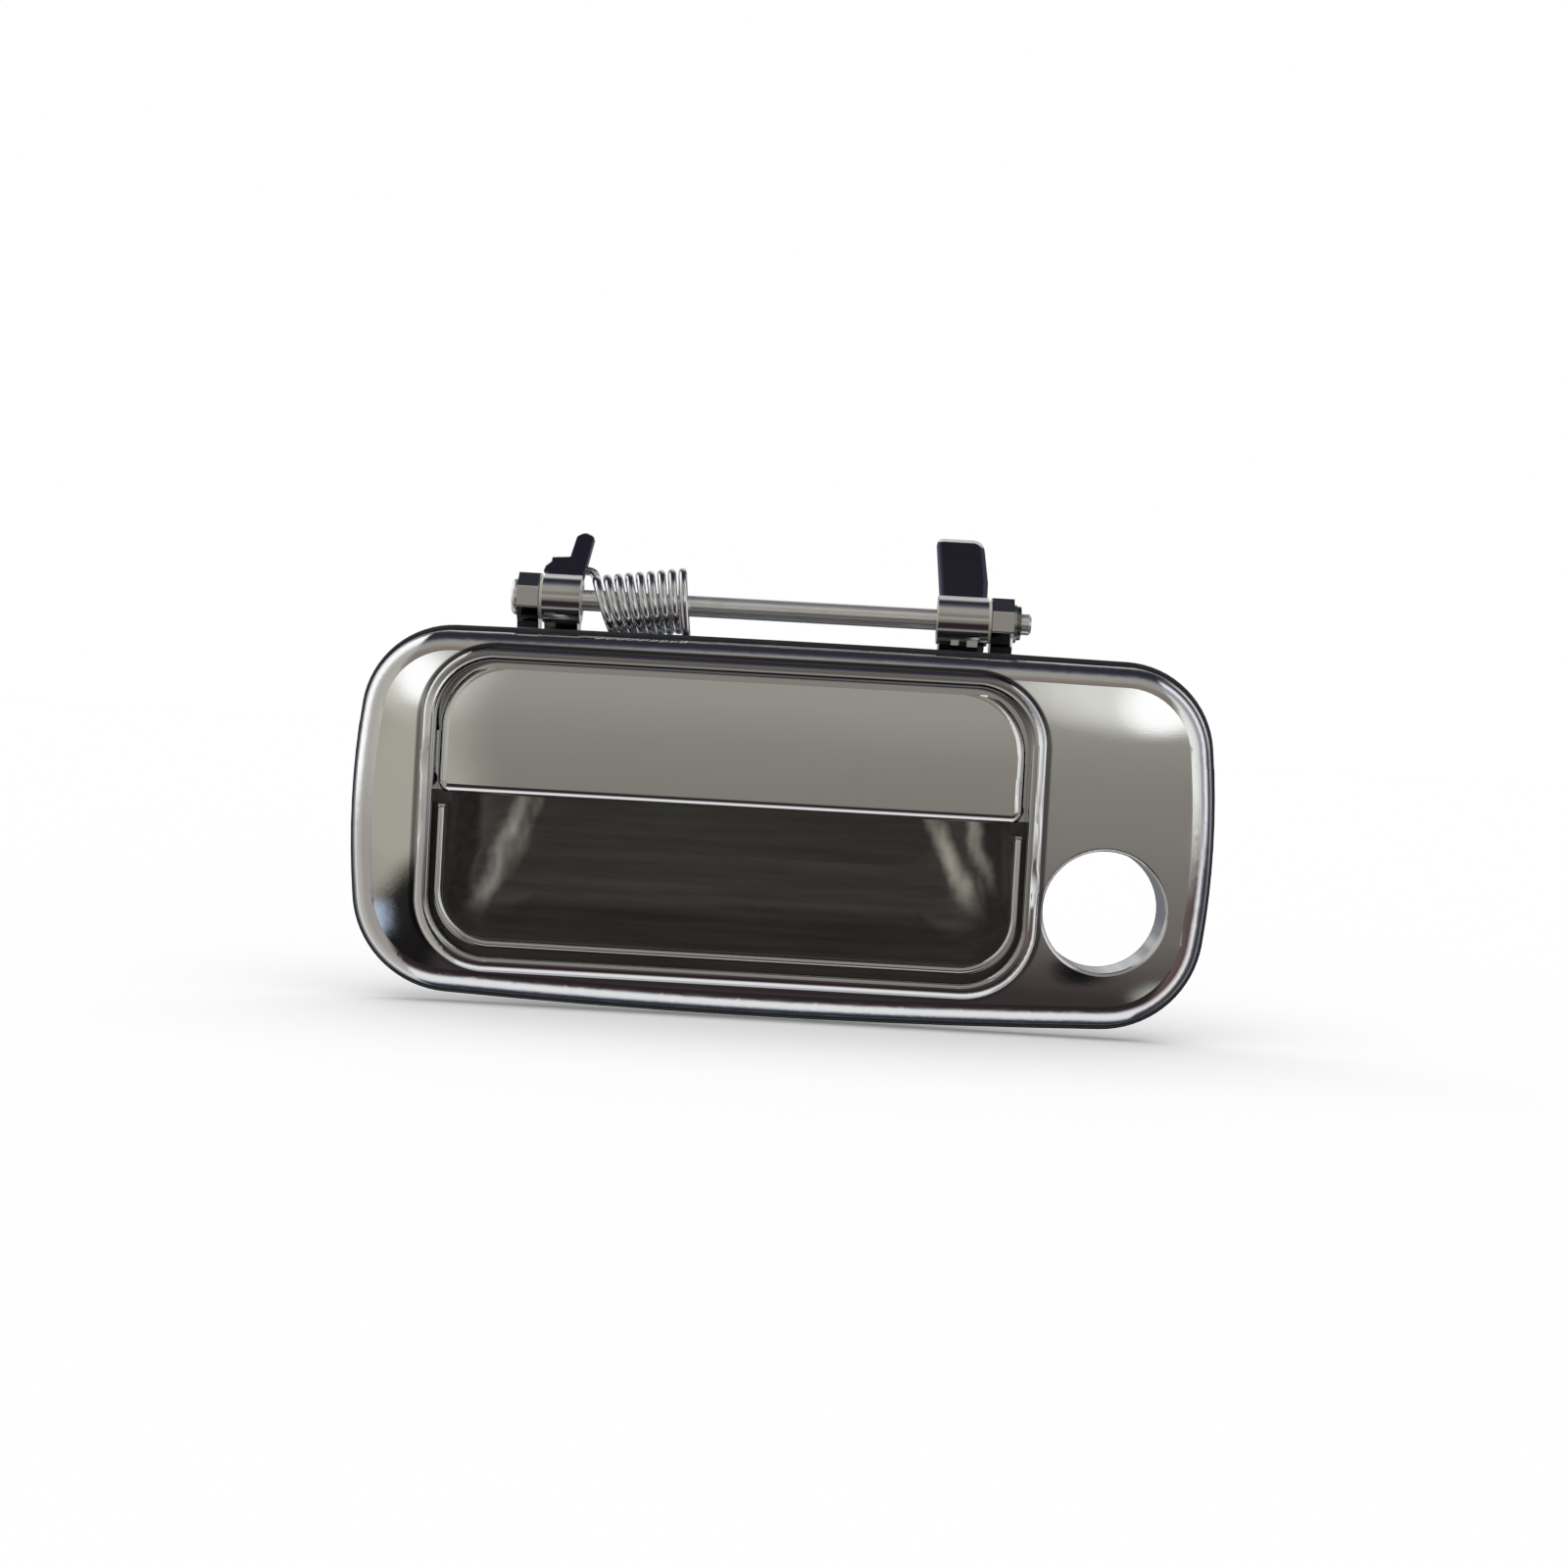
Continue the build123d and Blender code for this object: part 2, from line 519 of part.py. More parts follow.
def paddle_carrier():
    carrier = crowned_slab(outline(PLATE_SPEC), FACE_Y + 2.05, CARRIER_BACK_Y)
    for x, z in COVER_SCREWS:
        carrier = carrier - rod_y(x, z, 2.8, -12, -5.35)
        carrier = carrier - rod_y(x, z, 1.4, -12, 0)
    # lightening pockets on the back
    for pocket_x in POCKETS_X:
        pocket = box(*pocket_x, -6.3, 0, 9.5, 21.0)
        carrier = carrier - fillet(pocket.edges().filter_by(Axis.Y), 2.0)

    for (x0, x1), inset in ARM_INSETS:
        arm = plate_x(ARM_POINTS, ARM_RADII, x0 + inset, x1 - inset)
        carrier = carrier + arm + rod_x(x0, x1, HUB_R)

    tilt = Pos(0, PIVOT_Y, PIVOT_Z) * Rot(-LEAN, 0, 0) * Pos(0, -PIVOT_Y, -PIVOT_Z)
    block = slab(polygon(BLOCK_POINTS, BLOCK_RADII),
                 PIVOT_Y - BLOCK_HALF_T, PIVOT_Y + BLOCK_HALF_T)
    block = fillet(front_face(block).edges(), 0.35)
    carrier = carrier + tilt * block

    tab = slab(polygon(TAB_POINTS, TAB_RADII), PIVOT_Y - TAB_HALF_T, PIVOT_Y + TAB_HALF_T)
    top_edges = [e for e in front_face(tab).edges() if e.center().Z > 65.0]
    tab = fillet_if_possible(tab, top_edges, 1.3)
    carrier = carrier + tilt * tab

    # two small casting pockets under the right hub
    carrier = carrier - box(35.6, 37.4, -2, 6.2, 42.9, 44.1)
    carrier = carrier - box(39.2, 41.6, -2, 6.2, 42.7, 44.1)
    return carrier - rod_x(-70, 70, BUSH_R)


# ---------------------------------------------------------------------------
# Return spring: tilted helix, one leg down to its seat, one hooked behind
# the block
# ---------------------------------------------------------------------------
WIRE_R, COIL_R = 1.0, 6.5
LEG_WIRE_R = WIRE_R * 0.98
SPRING_Y = PIVOT_Y + 1.2    # the loose coils hang back from the shaft
SPRING_RIGHT = Vector(-25.5, SPRING_Y, PIVOT_Z + 1.3)
SPRING_LEFT = Vector(-43.5, SPRING_Y, PIVOT_Z - 1.7)
START_DEG, TURNS = 195.0, 8.0 + 105.0 / 360.0
SEAT_LEG_LENGTH = 11.8
HOOK_POINTS = [Vector(-46.8, 10.9, 55.2), Vector(-53.0, 11.1, 55.4)]
LEG_OVERLAP = 0.3           # run of each leg into the coils


def return_spring():
    span = SPRING_LEFT - SPRING_RIGHT
    length = span.length
    axis = span.normalized()
    back = Vector(0, 1, 0)
    up = (Vector(0, 0, 1) - axis * axis.Z).normalized()
    pitch = length / TURNS
    end_deg = START_DEG - 360 * TURNS

    def coil_point(degrees, along):
        angle = math.radians(degrees)
        centre = SPRING_RIGHT + axis * along
        return centre + back * (COIL_R * math.cos(angle)) + up * (COIL_R * math.sin(angle))

    # tangents at both ends, from a step of half a degree
    step = pitch * 0.5 / 360
    start, end = coil_point(START_DEG, 0), coil_point(end_deg, length)
    start_dir = (coil_point(START_DEG - 0.5, step) - start).normalized()
    end_dir = (end - coil_point(end_deg + 0.5, length - step)).normalized()

    radial = (start - SPRING_RIGHT).normalized()
    base = Plane(origin=SPRING_RIGHT, x_dir=radial, z_dir=axis)
    helix = base.location * Edge.make_helix(pitch, length, COIL_R)
    coils = sweep(Plane(origin=helix @ 0, z_dir=helix % 0) * Circle(WIRE_R), Wire([helix]),
                  is_frenet=True)

    foot = start - start_dir * SEAT_LEG_LENGTH
    seat_leg = sweep(Plane(origin=foot, z_dir=start_dir) * Circle(LEG_WIRE_R),
                     Line(foot, start + start_dir * LEG_OVERLAP))
    hook = Spline(end - end_dir * LEG_OVERLAP, *HOOK_POINTS,
                  tangents=(end_dir, Vector(-1, 0, 0)))
    hook_leg = sweep(Plane(origin=hook @ 0, z_dir=hook % 0) * Circle(LEG_WIRE_R), hook)
    return coils + seat_leg + hook_leg


# ---------------------------------------------------------------------------
# Each piece's file is named after its function
# ---------------------------------------------------------------------------
for build in (
    bezel_frame, open_stop_pads, finger_cup, cup_screws, bezel_gasket, rest_bumpers,
    pivot_shaft, shaft_washer, shaft_e_clip, paddle_cover, paddle_carrier, carrier_screws,
    left_hub_bush, right_hub_bush, return_spring,
):
    export_step(build(), f"parts/{build.__name__}.step")
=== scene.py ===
"""Looks for a sprung paddle latch set in a plated bezel with a rounded opening.

The bezel's face lies in the XZ plane: +X is right, +Z is up and the front looks along -Y.
The scene is in metres; lengths marked mm are in millimetres.
"""
import bpy
import bmesh
import math
from mathutils import Matrix, Vector

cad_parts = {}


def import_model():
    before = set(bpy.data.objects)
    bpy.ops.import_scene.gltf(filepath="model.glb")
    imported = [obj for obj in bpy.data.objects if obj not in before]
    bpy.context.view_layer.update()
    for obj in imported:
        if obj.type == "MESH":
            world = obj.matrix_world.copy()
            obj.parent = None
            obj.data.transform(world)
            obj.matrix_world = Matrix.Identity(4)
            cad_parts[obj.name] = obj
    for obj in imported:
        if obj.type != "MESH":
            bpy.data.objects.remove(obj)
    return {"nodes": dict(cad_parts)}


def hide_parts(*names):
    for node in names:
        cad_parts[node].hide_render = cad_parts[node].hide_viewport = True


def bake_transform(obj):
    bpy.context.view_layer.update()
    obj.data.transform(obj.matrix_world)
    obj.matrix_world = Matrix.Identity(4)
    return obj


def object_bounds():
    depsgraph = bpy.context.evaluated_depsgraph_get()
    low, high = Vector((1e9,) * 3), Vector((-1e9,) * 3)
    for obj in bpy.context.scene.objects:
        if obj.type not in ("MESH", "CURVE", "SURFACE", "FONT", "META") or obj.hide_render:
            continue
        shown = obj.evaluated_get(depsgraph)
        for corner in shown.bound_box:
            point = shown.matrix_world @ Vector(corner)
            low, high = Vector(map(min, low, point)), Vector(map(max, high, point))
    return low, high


MM = 0.001
MM_PER_METRE = 1000.0
PLATING = 0.84                  # reflectance of the bright plating


# ---------------------------------------------------------------------------
# Node-tree helpers
# ---------------------------------------------------------------------------
class Tree:
    """A cleared node tree; each method adds nodes and returns an output socket."""

    def __init__(self, tree):
        self.tree = tree
        tree.nodes.clear()

    def node(self, kind, **props):
        node = self.tree.nodes.new(kind)
        for name, value in props.items():
            setattr(node, name, value)
        return node

    def put(self, socket, value):
        """Link a socket, or set a value; colours are given as three numbers."""
        if isinstance(value, bpy.types.NodeSocket):
            self.tree.links.new(value, socket)
        elif socket.type == "RGBA":
            socket.default_value = (*value, 1.0)
        else:
            socket.default_value = value

    def math(self, operation, *values, clamp=False):
        node = self.node("ShaderNodeMath", operation=operation, use_clamp=clamp)
        for socket, value in zip(node.inputs, values):
            self.put(socket, value)
        return node.outputs[0]

    def times(self, first, *others):
        for other in others:
            first = self.math("MULTIPLY", first, other)
        return first

    def scaled(self, value, by, plus):
        return self.math("MULTIPLY_ADD", value, by, plus)

    def hypot(self, a, b):
        return self.math("SQRT", self.math("ADD", self.times(a, a), self.times(b, b)))

    def mix(self, factor, base, over):
        node = self.node("ShaderNodeMix", data_type="RGBA")
        self.put(node.inputs[0], factor)
        self.put(node.inputs[6], base)
        self.put(node.inputs[7], over)
        return node.outputs[2]

    def fade(self, value, off, full):
        """Smoothly 0 where value is off and 1 where it is full (off may be above full)."""
        node = self.node("ShaderNodeMapRange", interpolation_type="SMOOTHSTEP")
        ends = (off, full, 0.0, 1.0) if off <= full else (full, off, 1.0, 0.0)
        for socket, setting in zip(node.inputs, (value, *ends)):
            self.put(socket, setting)
        return node.outputs[0]

    def noise(self, vector, scale, detail, rough):
        node = self.node("ShaderNodeTexNoise")
        self.put(node.inputs["Vector"], vector)
        self.put(node.inputs["Scale"], scale)
        self.put(node.inputs["Detail"], detail)
        self.put(node.inputs["Roughness"], rough)
        return node.outputs["Fac"]

    def stretch(self, vector, scale):
        node = self.node("ShaderNodeMapping")
        self.put(node.inputs["Vector"], vector)
        self.put(node.inputs["Scale"], scale)
        return node.outputs[0]

    def ramp(self, value, stops):
        node = self.node("ShaderNodeValToRGB")
        self.put(node.inputs[0], value)
        elements = node.color_ramp.elements
        while len(elements) < len(stops):
            elements.new(0.5)
        for element, (position, colour) in zip(elements, stops):
            element.position = position
            element.color = (*colour, 1.0)
        return node.outputs[0]

    def axes(self, vector):
        node = self.node("ShaderNodeSeparateXYZ")
        self.put(node.inputs[0], vector)
        return node.outputs

    def geometry(self, output):
        return self.node("ShaderNodeNewGeometry").outputs[output]

    def bump(self, height, distance, strength, under=None):
        node = self.node("ShaderNodeBump")
        self.put(node.inputs["Strength"], strength)
        self.put(node.inputs["Distance"], distance)
        self.put(node.inputs["Height"], height)
        if under is not None:
            self.put(node.inputs["Normal"], under)
        return node.outputs[0]

    def output(self, shader, kind="ShaderNodeOutputMaterial"):
        self.put(self.node(kind).inputs[0], shader)

    def surface(self, **settings):
        """Principled surface; base_color sets "Base Color", and so on."""
        node = self.node("ShaderNodeBsdfPrincipled")
        for name, value in settings.items():
            self.put(node.inputs[name.replace("_", " ").title()], value)
        self.output(node.outputs[0])


def material(name):
    made = bpy.data.materials.new(name)
    made.use_nodes = True
    return made, Tree(made.node_tree)


# ---------------------------------------------------------------------------
# Materials
# ---------------------------------------------------------------------------
# rounded opening of the bezel, mm
OPENING_X, OPENING_Z = -11.4, 0.85
OPENING_HALF_WIDTH, OPENING_HALF_HEIGHT = 65.4, 32.45
OPENING_CORNER = 13.1

# dark creases round the opening:
# painted shade in the creases round the opening:
BEZEL_CREASE_SHADE = (
    (3.8, 0.85, 0.72, 0.25),
    (0.5, 0.8, 0.5, 0.4),
    (2.1, 0.9, 0.0, 0.62),
)
CREASE_SHADE_COLOUR = (0.035, 0.032, 0.036)

# painted slanting highlights inside the cup: top x, top z, bottom x, bottom z, half width
# (mm), power
CUP_PAINTED_HIGHLIGHTS = (
    (-61.2, -1.9, -67.6, -23.0, 2.2, 0.42),
    (-57.6, -1.0, -62.0, -14.0, 1.6, 0.26),
    (36.6, -0.9, 43.4, -15.7, 2.4, 0.62),
    (44.1, 0.0, 47.1, -11.0, 1.8, 0.5),
)
PAINTED_HIGHLIGHT_COLOUR = (0.88, 0.84, 0.74)

# noise stretches for worked steel
LINES_ALONG_X = (30.0, 1600.0, 1600.0)
BANDS_ACROSS_X = (3000.0, 60.0, 60.0)


def outside_opening(t, x, z):
    """Distance outside the rounded opening, in mm."""
    across = t.math("ABSOLUTE", t.scaled(x, by=MM_PER_METRE, plus=-OPENING_X))
    across = t.math("SUBTRACT", across, OPENING_HALF_WIDTH - OPENING_CORNER)
    upward = t.math("ABSOLUTE", t.scaled(z, by=MM_PER_METRE, plus=-OPENING_Z))
    upward = t.math("SUBTRACT", upward, OPENING_HALF_HEIGHT - OPENING_CORNER)
    corner = t.hypot(t.math("MAXIMUM", across, 0.0), t.math("MAXIMUM", upward, 0.0))
    straight = t.math("MINIMUM", t.math("MAXIMUM", across, upward), 0.0)
    return t.math("SUBTRACT", t.math("ADD", corner, straight), OPENING_CORNER)


# Painted shade in the creases round the opening, darker along the top.
def add_crease_shade(t, place, colour, crease_shade):
    x, _, z = t.axes(place)
    away = outside_opening(t, x, z)
    top = t.fade(z, off=0.022, full=0.030)
    # the painted shade keeps only part of its darkening along the bottom edge
    low = t.scaled(t.fade(z, off=-0.031, full=-0.024), by=0.65, plus=0.35)
    for centre, half_width, darkening, top_extra in crease_shade:
        gap = t.math("ABSOLUTE", t.math("SUBTRACT", away, centre))
        near = t.fade(gap, off=half_width, full=half_width * 0.35)
        amount = t.math("MULTIPLY_ADD", t.times(near, top), top_extra,
                        t.times(low, t.times(near, darkening)), clamp=True)
        colour = t.mix(amount, colour, CREASE_SHADE_COLOUR)
    return colour


def chrome(name, rough, crease_shade=()):
    """Bright plating over a polished casting: slight waviness, hairlines, faint haze."""
    made, t = material(name)
    place = t.geometry("Position")
    haze = t.noise(place, scale=55.0, detail=4.0, rough=0.6)
    hairlines = t.noise(t.stretch(place, (120.0, 900.0, 900.0)),
                        scale=6.0, detail=3.0, rough=0.7)
    speck = t.noise(place, scale=2600.0, detail=2.0, rough=0.6)
    roughness = t.scaled(t.fade(haze, off=0.45, full=0.75), by=rough * 0.9, plus=rough)
    roughness = t.scaled(t.fade(speck, off=0.62, full=0.8), by=rough * 0.8, plus=roughness)
    grime = t.times(t.fade(haze, off=0.5, full=0.8), 0.25)
    colour = t.mix(grime, (PLATING, PLATING, PLATING),
                   (PLATING * 0.90, PLATING * 0.89, PLATING * 0.86))
    # painted shade in the creases round the opening, where asked for
    if crease_shade:
        colour = add_crease_shade(t, place, colour, crease_shade)
    waves = t.bump(t.noise(place, scale=85.0, detail=1.0, rough=0.4),
                   distance=0.000011, strength=1.0)
    relief = t.bump(hairlines, distance=0.0000015, strength=0.6, under=waves)
    t.surface(base_color=colour, metallic=1.0, roughness=roughness, normal=relief)
    return made


def lever_plating(name):
    """Plated casting, darkened on its high faces, with a painted highlight where those faces
    look up.
    """
    made, t = material(name)
    # the piece's own coordinates, so the darkening and the painted highlight stay on it while
    # the paddle swings
    coordinates = t.node("ShaderNodeTexCoord")
    place = coordinates.outputs["Object"]
    height = t.axes(place)[2]
    facing_up = t.axes(coordinates.outputs["Normal"])[2]
    haze = t.noise(place, scale=90.0, detail=4.0, rough=0.6)
    fine = t.noise(t.stretch(place, (700.0, 700.0, 140.0)), scale=5.0, detail=3.0, rough=0.7)
    high = t.fade(height, off=0.0526, full=0.0534)
    # painted highlight: high faces that look up are made lighter, less metallic and rougher,
    # in patches
    painted_top_light = t.fade(t.scaled(haze, by=0.12, plus=facing_up), off=0.40, full=0.62)
    darkened_high = t.times(high, t.math("SUBTRACT", 1.0, painted_top_light))
    plate = t.mix(t.fade(haze, off=0.5, full=0.8),
                  (PLATING, PLATING, PLATING), (0.70, 0.69, 0.67))
    high_dark_tone = t.mix(haze, (0.045, 0.047, 0.085), (0.075, 0.075, 0.12))
    colour = t.mix(darkened_high, plate, high_dark_tone)
    highlight_patches = t.times(high, painted_top_light)
    colour = t.mix(highlight_patches, colour, (0.60, 0.60, 0.59))
    relief = t.bump(t.scaled(haze, by=2.0, plus=fine), distance=0.000004, strength=0.5)
    t.surface(base_color=colour,
              metallic=t.scaled(highlight_patches, by=-0.75, plus=1.0),
              roughness=t.scaled(highlight_patches, by=0.30, plus=t.scaled(haze, by=0.08, plus=0.04)),
              normal=relief)
    return made


def add_painted_highlights(t, place, x, z, colour):
    """Painted slanting highlights on the cup faces that look to the front, broken into
    patches.
    """
    front = t.fade(t.axes(t.geometry("Normal"))[1], off=0.15, full=-0.15)
    warp = t.scaled(t.noise(place, scale=90.0, detail=3.0, rough=0.6), by=6.0, plus=-3.0)
    x_mm = t.scaled(x, by=MM_PER_METRE, plus=warp)
    z_mm = t.times(z, MM_PER_METRE)
    highlight_patches = t.noise(t.stretch(place, (170.0, 60.0, 60.0)), scale=1.0, detail=2.0, rough=0.6)
    for top_x, top_z, bottom_x, bottom_z, half_width, power in CUP_PAINTED_HIGHLIGHTS:
        slant = (bottom_x - top_x) / (bottom_z - top_z)
        upright_x = t.scaled(z_mm, by=-slant, plus=x_mm)
        gap = t.math("ABSOLUTE", t.math("SUBTRACT", upright_x, top_x - slant * top_z))
        highlight = t.times(t.fade(gap, off=half_width * 1.5, full=0.0),
                        t.fade(z_mm, off=bottom_z - 3.0, full=bottom_z + 6.0),
                        t.fade(highlight_patches, off=0.22, full=0.60),
                        power, front)
        # the painted highlight is mixed into the colour
        colour = t.mix(highlight, colour, PAINTED_HIGHLIGHT_COLOUR)
    return colour


def recess_shade_plating(name):
    """Plating in the cup, bright on the front lip and painted dark behind it as shade in the
    recess, with streaks along X.
    """
    made, t = material(name)
    place = t.geometry("Position")
    x, y, z = t.axes(place)
    streak = t.noise(t.stretch(place, (14.0, 160.0, 220.0)), scale=2.0, detail=4.0, rough=0.55)
    grain = t.noise(place, scale=1400.0, detail=3.0, rough=0.6)
    lip = t.fade(y, off=-0.0050, full=-0.0064)
    # painted shade: behind the lip the plating's colour is made dark, streaked along X
    inner = t.mix(t.fade(streak, off=0.25, full=0.85),
                  (0.058, 0.054, 0.049), (0.092, 0.086, 0.078))
    inner = add_painted_highlights(t, place, x, z, inner)
    inner_roughness = t.scaled(streak, by=0.12, plus=0.15)
    relief = t.bump(t.scaled(streak, by=0.7, plus=grain), distance=0.00001, strength=0.5)
    t.surface(base_color=t.mix(lip, inner, (0.80, 0.80, 0.79)),
              metallic=t.scaled(lip, by=0.5, plus=0.5),
              roughness=t.scaled(lip, by=-0.09, plus=inner_roughness),
              normal=relief)
    return made


def rubber(name):
    """Black rubber with fine grain and patches of dust."""
    made, t = material(name)
    place = t.geometry("Position")
    dust = t.noise(place, scale=190.0, detail=5.0, rough=0.65)
    grain = t.noise(place, scale=2400.0, detail=2.0, rough=0.5)
    colour = t.mix(t.fade(dust, off=0.5, full=0.8),
                   (0.012, 0.013, 0.017), (0.028, 0.028, 0.030))
    t.surface(base_color=colour,
              roughness=t.scaled(dust, by=0.2, plus=0.42),
              normal=t.bump(grain, distance=0.00002, strength=0.6))
    return made


def steel(name, base, rough, grain=LINES_ALONG_X, stained=(0.42, 0.40, 0.37), metallic=1.0):
    """Worked steel: fine lines along X or bands across it, with light stains."""
    made, t = material(name)
    place = t.geometry("Position")
    lines = t.noise(t.stretch(place, grain), scale=2.0, detail=3.0, rough=0.6)
    stain = t.noise(place, scale=160.0, detail=4.0, rough=0.6)
    colour = t.mix(t.times(t.fade(stain, off=0.5, full=0.75), 0.5), base, stained)
    t.surface(base_color=colour,
              metallic=metallic,
              roughness=t.scaled(lines, by=0.10, plus=rough - 0.04),
              normal=t.bump(lines, distance=0.000008, strength=0.4))
    return made


def nylon(name):
    """Cream nylon, mottled and slightly translucent."""
    made, t = material(name)
    red, green, blue = 0.62, 0.60, 0.53
    place = t.geometry("Position")
    mottle = t.noise(place, scale=420.0, detail=3.0, rough=0.6)
    grain = t.noise(place, scale=1800.0, detail=2.0, rough=0.5)
    t.surface(base_color=t.mix(mottle, (red, green, blue),
                               (red * 0.82, green * 0.8, blue * 0.75)),
              roughness=0.42,
              subsurface_weight=0.15,
              subsurface_radius=(0.002, 0.0018, 0.0014),
              normal=t.bump(grain, distance=0.00001, strength=0.4))
    return made


PART_MATERIALS = {
    "bezel_frame": "bezel", "finger_cup": "cup", "cup_screws": "screw",
    "bezel_gasket": "rubber", "pivot_shaft": "shaft", "shaft_washer": "screw",
    "shaft_e_clip": "clip", "return_spring": "spring", "rest_bumpers": "rubber",
    "open_stop_pads": "rubber", "paddle_cover": "paddle", "paddle_carrier": "carrier",
    "carrier_screws": "screw", "left_hub_bush": "nylon", "right_hub_bush": "nylon",
}


def make_materials():
    return {
        "bezel": chrome("chrome_bezel_mat", rough=0.018, crease_shade=BEZEL_CREASE_SHADE),
        "paddle": chrome("chrome_paddle_mat", rough=0.025),
        "carrier": lever_plating("chrome_carrier_mat"),
        "cup": recess_shade_plating("cup_mat"),
        "rubber": rubber("rubber_mat"),
        "shaft": steel("shaft_mat", base=(0.92, 0.92, 0.91), rough=0.19,
                       stained=(0.66, 0.65, 0.63), metallic=0.88),
        "spring": steel("spring_mat", base=(0.80, 0.81, 0.82), rough=0.09,
                        stained=(0.62, 0.61, 0.60)),
        "screw": steel("screw_mat", base=(0.58, 0.57, 0.52), rough=0.28,
                       grain=BANDS_ACROSS_X),
        "clip": steel("clip_mat", base=(0.30, 0.31, 0.30), rough=0.25,
                      grain=BANDS_ACROSS_X),
        "nylon": nylon("nylon_mat"),
    }


# ---------------------------------------------------------------------------
# Return spring: one wire with a straight leg, a coil along X and a hooked end (mm)
# ---------------------------------------------------------------------------
WIRE_RADIUS = 0.99
COIL_START_X, COIL_END_X = -24.6, -43.0
COIL_Y = 8.2
COIL_START_Z, COIL_END_Z = 49.7, 46.9
COIL_RADIUS = 6.45
COIL_TURNS = 8.0 + 105.0 / 360.0
COIL_STEPS = 360
COIL_START_ANGLE = 195.0        # degrees, from +Y towards +Z
START_LEAN = 3.0                # degrees the turns lean at the start
ADDED_LEAN = 15.0               # degrees gained by the end
COIL_SHIFT = 0.9 * math.tan(math.radians(START_LEAN))
LEG_LENGTH, LEG_STEPS = 11.8, 14
HOOK_RUN_OUT = 2.2              # how far the wire runs straight on after the coil
HOOK_LEAD_IN = 2.0              # places the curve's control point before the hook
HOOK_POINTS = ((-46.2, 11.2, 55.0), (-48.6, 11.35, 55.4), (-53.0, 11.2, 55.4))
HOOK_BEYOND = (-57.0, 11.2, 55.4)       # control point past the hook's end
HOOK_STEPS = 8


def wire(name, path, radius, sides=16):
    """A round wire swept along a list of points, with domed ends."""
    points = [Vector(point) for point in path]
    tangents = [(after - before).normalized()
                for before, after in zip(points[:1] + points[:-1], points[1:] + points[-1:])]
    normal = tangents[0].orthogonal().normalized()
    bm = bmesh.new()
    rings = []
    for point, tangent in zip(points, tangents):
        normal = (normal - tangent * normal.dot(tangent)).normalized()
        sideways = tangent.cross(normal)
        ring = []
        for k in range(sides):
            angle = 2 * math.pi * k / sides
            spoke = normal * math.cos(angle) + sideways * math.sin(angle)
            ring.append(bm.verts.new(point + spoke * radius))
        rings.append(ring)
    for ring, following in zip(rings, rings[1:]):
        for k in range(sides):
            j = (k + 1) % sides
            bm.faces.new((ring[k], ring[j], following[j], following[k]))
    for ring, outward, point in ((rings[0], -tangents[0], points[0]),
                                 (rings[-1], tangents[-1], points[-1])):
        shoulder = point + outward * radius * 0.55
        inner = [bm.verts.new(shoulder + (vert.co - point) * 0.72) for vert in ring]
        tip = bm.verts.new(point + outward * radius * 0.8)
        for k in range(sides):
            j = (k + 1) % sides
            bm.faces.new((ring[k], ring[j], inner[j], inner[k]))
            bm.faces.new((inner[k], inner[j], tip))
    bmesh.ops.recalc_face_normals(bm, faces=bm.faces)
    mesh = bpy.data.meshes.new(name)
    bm.to_mesh(mesh)
    bm.free()
    for polygon in mesh.polygons:
        polygon.use_smooth = True
    made = bpy.data.objects.new(name, mesh)
    bpy.context.scene.collection.objects.link(made)
    return made


def coil_point(along):
    """Point on the coil, from 0 at its start to 1 at its end."""
    angle = math.radians(COIL_START_ANGLE - 360.0 * COIL_TURNS * along)
    lean = math.tan(math.radians(START_LEAN + ADDED_LEAN * along))
    rise = COIL_RADIUS * math.sin(angle)
    axis_x = COIL_START_X + (COIL_END_X - COIL_START_X) * along
    axis_z = COIL_START_Z + (COIL_END_Z - COIL_START_Z) * along
    return Vector((axis_x - lean * rise + COIL_SHIFT,
                   COIL_Y + COIL_RADIUS * math.cos(angle),
                   axis_z + rise))


def smooth_curve(controls, steps):
    """Catmull-Rom points between the second and the last but one control."""
    curve = []
    for p0, p1, p2, p3 in zip(controls, controls[1:], controls[2:], controls[3:]):
        for k in range(1, steps + 1):
            u = k / steps
            curve.append(0.5 * ((2 * p1) + (p2 - p0) * u
                                + (2 * p0 - 5 * p1 + 4 * p2 - p3) * u * u
                                + (3 * p1 - p0 - 3 * p2 + p3) * u ** 3))
    return curve


def make_spring(steel_material):
    coil = [coil_point(i / COIL_STEPS) for i in range(COIL_STEPS + 1)]
    backward = (coil[0] - coil[1]).normalized()
    leg = [coil[0] + backward * (LEG_LENGTH * (1 - k / LEG_STEPS)) for k in range(LEG_STEPS)]
    end = coil[-1]
    onward = (end - coil[-2]).normalized()
    controls = [end - onward * HOOK_LEAD_IN, end, end + onward * HOOK_RUN_OUT]
    controls += [Vector(point) for point in (*HOOK_POINTS, HOOK_BEYOND)]
    path = leg + coil + smooth_curve(controls, HOOK_STEPS)
    spring = wire("return_spring_wire", [point * MM for point in path], WIRE_RADIUS * MM)
    spring.data.materials.append(steel_material)
    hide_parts("return_spring")
    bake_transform(spring)


# ---------------------------------------------------------------------------
# Floor: pale, catches the soft shadow
# ---------------------------------------------------------------------------
FLOOR_SIZE = 6.0
FLOOR_GAP = 0.0004              # below the lowest point


